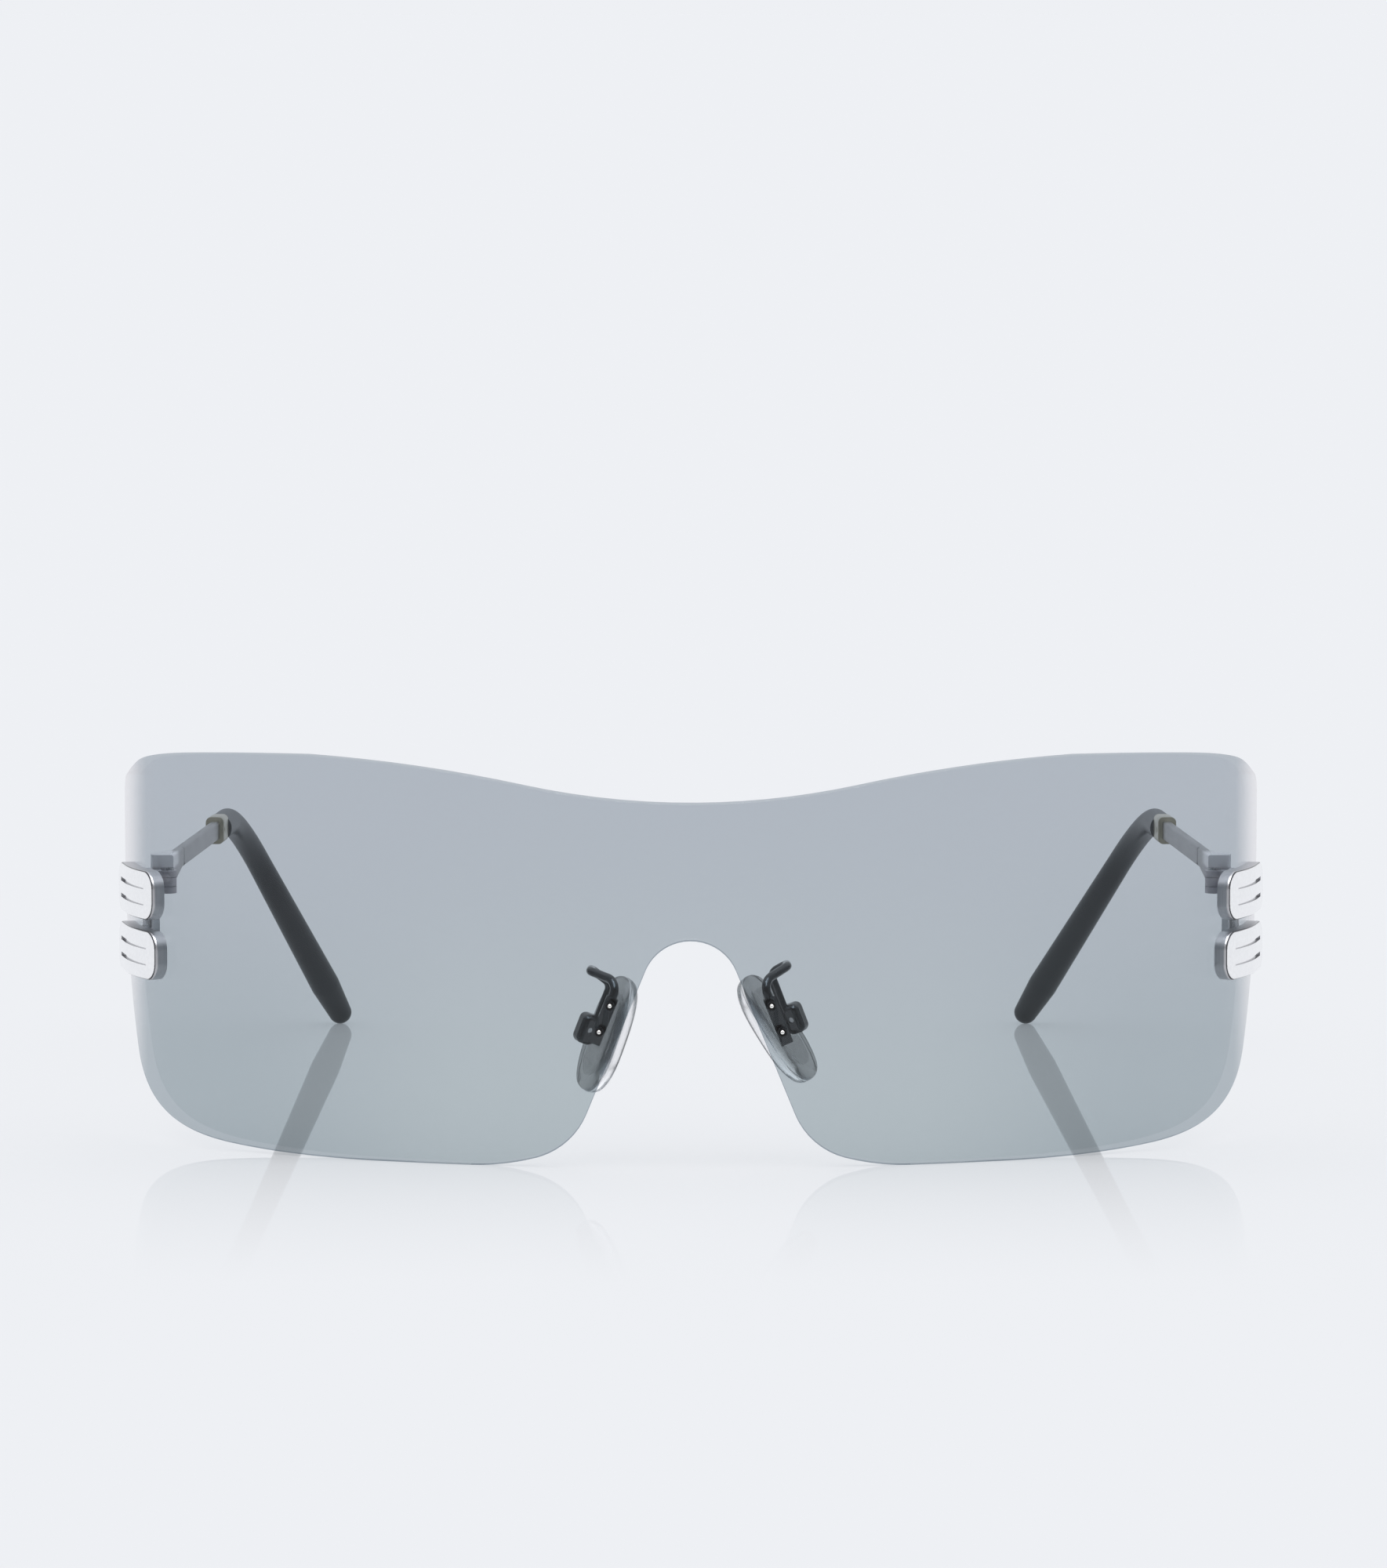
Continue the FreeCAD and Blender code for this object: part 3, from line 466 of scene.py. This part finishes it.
def pad_silicone():
    """Clear silicone of the nose pads, smoky grey at the back where it covers the core: partly the silicone's
    own tint, partly painted shade.
    """
    material, start = new_material("pad_silicone_finish")
    haze = start.place().noise(500.0, detail=3.0)
    depth = start.node("ShaderNodeAttribute", {"attribute_name": "pad_depth"}, output="Fac")
    # Smoky grey at the back: partly own tint, partly painted shade
    clearness = (depth + 0.15 * (haze - 0.5)).between(*pad_clear_depth)
    start.show(
        start.surface(
            Base_Color=clearness.blend(pad_smoke_and_painted_shade, pad_clear),
            Roughness=0.10 + 0.10 * haze,
            IOR=1.25,
            Transmission_Weight=1.0,
        )
    )
    return material


def pad_core_clear():
    """Frosted stiff core in the nose pads."""
    material, start = new_material("pad_core_finish")
    frost = start.place().noise(1500.0, detail=3.0)
    start.show(
        start.surface(
            Base_Color=frost.between(0.3, 0.7).blend((0.40, 0.41, 0.42), (0.50, 0.51, 0.52)),
            Roughness=0.35 + 0.15 * frost,
            Alpha=0.15,
        )
    )
    return material


finishes = {
    "lens_tint": lens_tint(),
    "bright_chrome": bright_chrome(),
    "satin_steel": satin_steel(),
    "screw_steel": metal(
        "screw_steel_finish",
        light=(0.52, 0.52, 0.53),
        dark=(0.38, 0.38, 0.39),
        roughness=0.25,
        grain=0.15,
        grain_scale=1500.0,
        bump_height=0.004 * MM,
    ),
    "ferrule_nickel": ferrule_nickel(),
    "gunmetal": metal(
        "gunmetal_finish",
        light=(0.085, 0.087, 0.09),
        dark=(0.06, 0.062, 0.065),
        roughness=0.11,
        grain=0.06,
        grain_scale=1600.0,
        bump_height=0.003 * MM,
    ),
    "rivet_chrome": metal(
        "rivet_chrome_finish",
        light=(0.90, 0.89, 0.86),
        dark=(0.80, 0.79, 0.76),
        roughness=0.08,
        grain=0.06,
        grain_scale=1500.0,
        bump_height=0.001 * MM,
    ),
    "rivet_sleeve": rivet_sleeve(),
    "tip_sleeve": tip_sleeve(),
    "pad_silicone": pad_silicone(),
    "pad_core_clear": pad_core_clear(),
}

for node in nodes.values():
    for slot in node.material_slots:
        slot.material = finishes[slot.material.name]


def mesh_object(name, mesh):
    made = bpy.data.objects.new(name, mesh)
    bpy.context.scene.collection.objects.link(made)
    return made


def middle_of(points, way):
    """Halfway between the first and the last of the points along a direction."""
    reach = [point.dot(way) for point in points]
    return (min(reach) + max(reach)) / 2


def pad_axes(side):
    """Middle of the pad's flat back and its length, width and nose-ward directions."""
    across = Vector(joints["nose_pad_rock_" + side]["axis"]).normalized()
    mesh = nodes["nose_pad_" + side].data
    areas = {}
    for face in mesh.polygons:
        key = tuple(round(x, 2) for x in face.normal)
        areas[key] = areas.get(key, 0.0) + face.area
    flat = Vector(max(areas, key=areas.get))
    flat = (flat - across * flat.dot(across)).normalized()
    places = [vertex.co for vertex in mesh.vertices]
    core = [vertex.co for vertex in nodes["pad_core_" + side].data.vertices]
    noseward = flat if middle_of(places, flat) > middle_of(core, flat) else -flat
    along = across.cross(noseward).normalized()
    if along.z < 0:
        along = -along
    middle = along * middle_of(places, along) + across * middle_of(places, across)
    middle += noseward * min(place.dot(noseward) for place in places)
    return middle, along, across, noseward


def rounded(value):
    """A cosine or sine, drawn out so that the pad's outline is a squarer oval."""
    return math.copysign(abs(value) ** (2 / pad_squareness), value)


def silicone_pad(side):
    """Soft oval pad with a crowned nose face, a parting groove round its rim and a flat back."""
    middle, along, across, noseward = pad_axes(side)
    mesh = bmesh.new()
    depth_layer = mesh.verts.layers.float.new("pad_depth")
    rows = []
    for share, depth in pad_rings:
        row = []
        for spoke in range(pad_spokes):
            turn = 2 * math.pi * spoke / pad_spokes
            reach = rounded(math.cos(turn))
            width = rounded(math.sin(turn)) * (1 - pad_taper * reach)
            place = (
                middle
                + along * (share * reach * pad_length / 2)
                + across * (share * width * pad_width / 2)
                + noseward * (depth * pad_thickness)
            )
            row.append(mesh.verts.new(place))
            row[-1][depth_layer] = depth
        rows.append(row)
    for lower, upper in zip(rows, rows[1:]):
        for spoke in range(pad_spokes):
            after = (spoke + 1) % pad_spokes
            mesh.faces.new((lower[spoke], lower[after], upper[after], upper[spoke]))
    for row, depth in ((rows[0], 0.0), (rows[-1], 1.0)):
        pole = mesh.verts.new(middle + noseward * (depth * pad_thickness))
        pole[depth_layer] = depth
        for spoke in range(pad_spokes):
            mesh.faces.new((row[spoke], row[(spoke + 1) % pad_spokes], pole))
    bmesh.ops.recalc_face_normals(mesh, faces=mesh.faces)
    for face in mesh.faces:
        face.smooth = True
    data = bpy.data.meshes.new("silicone_pad_" + side)
    mesh.to_mesh(data)
    mesh.free()
    data.materials.append(finishes["pad_silicone"])
    pad = mesh_object("silicone_pad_" + side, data)
    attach(pad, "pad_" + side)
    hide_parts("nose_pad_" + side)


def rivet_maker():
    """Node tree that turns a rivet on every point: domed front end, straight shank, rounded back head."""
    tree = bpy.data.node_groups.new("rivet_maker", "GeometryNodeTree")
    sockets = {
        "Seats": "NodeSocketGeometry",
        "Length": "NodeSocketFloat",
        "Shank Radius": "NodeSocketFloat",
        "Head Radius": "NodeSocketFloat",
        "Head Height": "NodeSocketFloat",
        "Finish": "NodeSocketMaterial",
    }
    for name, kind in sockets.items():
        tree.interface.new_socket(name, in_out="INPUT", socket_type=kind)
    tree.interface.new_socket("Rivets", in_out="OUTPUT", socket_type="NodeSocketGeometry")
    start = Signal(tree)
    given = {name: start.node("NodeGroupInput", output=name) for name in sockets}

    end = start.node("ShaderNodeCombineXYZ", inputs={"Y": given["Length"]})
    line = start.node("GeometryNodeCurvePrimitiveLine", inputs={"End": end})
    line = start.node("GeometryNodeResampleCurve", inputs={"Curve": line, "Count": rivet_rings})
    along = start.node("GeometryNodeSplineParameter", output="Length")

    shank = given["Shank Radius"]
    short = (shank - along).most(0.0)
    dome = (shank * shank - short * short).most(0.0) ** 0.5
    head_start = given["Length"] - given["Head Height"]
    into_head = ((along - head_start) / given["Head Height"]).most(0.0)
    head = given["Head Radius"] * (1 - into_head ** 4.0).most(0.0) ** 0.5
    in_head = along.math("GREATER_THAN", along, head_start)
    radius = (dome * (1 - in_head) + head * in_head).most(rivet_least_radius)

    ring = start.node("GeometryNodeCurvePrimitiveCircle", inputs={"Resolution": rivet_spokes, "Radius": MM})
    profile = {"Curve": line, "Profile Curve": ring, "Scale": radius / MM, "Fill Caps": True}
    turned = start.node("GeometryNodeCurveToMesh", inputs=profile)
    seated = start.node("GeometryNodeInstanceOnPoints", inputs={"Points": given["Seats"], "Instance": turned})
    solid = start.node("GeometryNodeRealizeInstances", inputs={"Geometry": seated})
    solid = start.node("GeometryNodeSetShadeSmooth", inputs={0: solid})
    solid = start.node("GeometryNodeSetMaterial", inputs={"Geometry": solid, "Material": given["Finish"]})
    start.node("NodeGroupOutput", inputs={"Rivets": solid})
    return tree


def nose_rivets(side, tree):
    """The two rivets of one nose plate, seated where the solid ones are."""
    low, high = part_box("nose_rivets_" + side)
    outer, inner = (low.x, high.x) if side == "left" else (high.x, low.x)
    sign = -1 if side == "left" else 1
    axes = [
        (inner + sign * rivet_head_radius, high.z - rivet_head_radius),
        (outer - sign * rivet_head_radius, low.z + rivet_head_radius),
    ]
    places = [vertex.co for vertex in nodes["nose_rivets_" + side].data.vertices]
    seats = []
    lengths = []
    for x, z in axes:
        near = [place for place in places if math.hypot(place.x - x, place.z - z) < 1.1 * rivet_head_radius]
        reach = [place.y for place in near]
        seats.append((x, min(reach), z))
        lengths.append(max(reach) - min(reach))
    points = bpy.data.meshes.new("rivet_seats_" + side)
    points.from_pydata(seats, [], [])
    maker = mesh_object("rivet_maker_" + side, points)
    modifier = maker.modifiers.new("rivets", "NODES")
    modifier.node_group = tree
    sizes = {
        "Length": min(lengths),
        "Shank Radius": rivet_shank_radius,
        "Head Radius": rivet_head_radius,
        "Head Height": rivet_head_height,
        "Finish": finishes["rivet_chrome"],
    }
    for socket in tree.interface.items_tree:
        if socket.name in sizes:
            modifier[socket.identifier] = sizes[socket.name]
    seen = maker.evaluated_get(bpy.context.evaluated_depsgraph_get())
    data = bpy.data.meshes.new_from_object(seen)
    data.name = "turned_rivets_" + side
    data.set_sharp_from_angle(angle=rivet_sharp_edge)
    bpy.data.objects.remove(maker)
    rivets = mesh_object("turned_rivets_" + side, data)
    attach(rivets, "front")
    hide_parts("nose_rivets_" + side)


rivet_tree = rivet_maker()
for side in SIDES:
    silicone_pad(side)
    nose_rivets(side, rivet_tree)


def pale_table():
    """Pale table lit softly from below, with a gloss that fades out before the lens and far behind it."""
    material, start = new_material("table_finish")
    depth = start.place().axis("Y")
    front = cad_box[0].y
    near = ((depth - (front - gloss_reach)) / gloss_reach).most(0.0).least(1.0) ** gloss_fade
    under = table_gloss_front + (1 - table_gloss_front) * depth.between(front, front + gloss_full_depth)
    near = near * under * (1 - depth.between(*gloss_back))
    shine = near * table_gloss * start.facing() ** 5.0
    flat = start.node("ShaderNodeBsdfDiffuse", inputs={"Color": (*table_white, 1)})
    glow = start.node("ShaderNodeEmission", inputs={"Color": (*studio_white, 1), "Strength": table_glow})
    lit = start.node("ShaderNodeAddShader", inputs={0: flat, 1: glow})
    start.show(shine.over(lit, start.gloss(table_gloss_roughness)))
    half = table_half_size
    corners = [(-half, -half, 0), (half, -half, 0), (half, half, 0), (-half, half, 0)]
    mesh = bpy.data.meshes.new("table")
    mesh.from_pydata(corners, [], [(0, 1, 2, 3)])
    mesh.materials.append(material)
    mesh_object("table", mesh)


def studio_world():
    """White studio all round, grey behind the camera, with a high front panel that only gloss shows."""
    world = bpy.data.worlds.new("studio")
    world.use_nodes = True
    world.node_tree.nodes.clear()
    bpy.context.scene.world = world
    start = Signal(world.node_tree)
    way = start.node("ShaderNodeTexCoord", output="Generated")
    up = way.axis("Z")
    behind_camera = (0 - way.axis("Y")).between(0.25, 0.75) * (1 - up.between(0.4, 0.7))
    mirrored = start.node("ShaderNodeLightPath", output="Is Glossy Ray")
    mirrored = mirrored * (1 - start.node("ShaderNodeLightPath", output="Is Transmission Ray"))
    along_panel = {0: way, 1: panel_way}
    toward = start.node("ShaderNodeVectorMath", {"operation": "DOT_PRODUCT"}, along_panel, "Value")
    panel = toward.between(*panel_edge) * mirrored
    light = start.node(
        "ShaderNodeBackground",
        inputs={
            "Color": behind_camera.blend(studio_white, studio_dusk),
            "Strength": 1 + overhead_boost * up.between(0.3, 0.75) + panel_boost * panel,
        },
    )
    start.node("ShaderNodeOutputWorld", inputs={"Surface": light})


def studio_camera():
    """Camera in front of the lens, looking a little down on it."""
    data = bpy.data.cameras.new("camera")
    data.lens = camera_focal
    data.sensor_width = camera_sensor
    data.clip_start = camera_clip_start
    data.clip_end = camera_clip_end
    camera = bpy.data.objects.new("camera", data)
    camera.location = (camera_shift_side, cad_box[0].y - camera_distance, camera_height)
    camera.rotation_euler = (math.pi / 2 - camera_pitch, 0, 0)
    bpy.context.scene.collection.objects.link(camera)
    bpy.context.scene.camera = camera


pale_table()
studio_world()
studio_camera()
bpy.context.scene.view_settings.view_transform = "Standard"
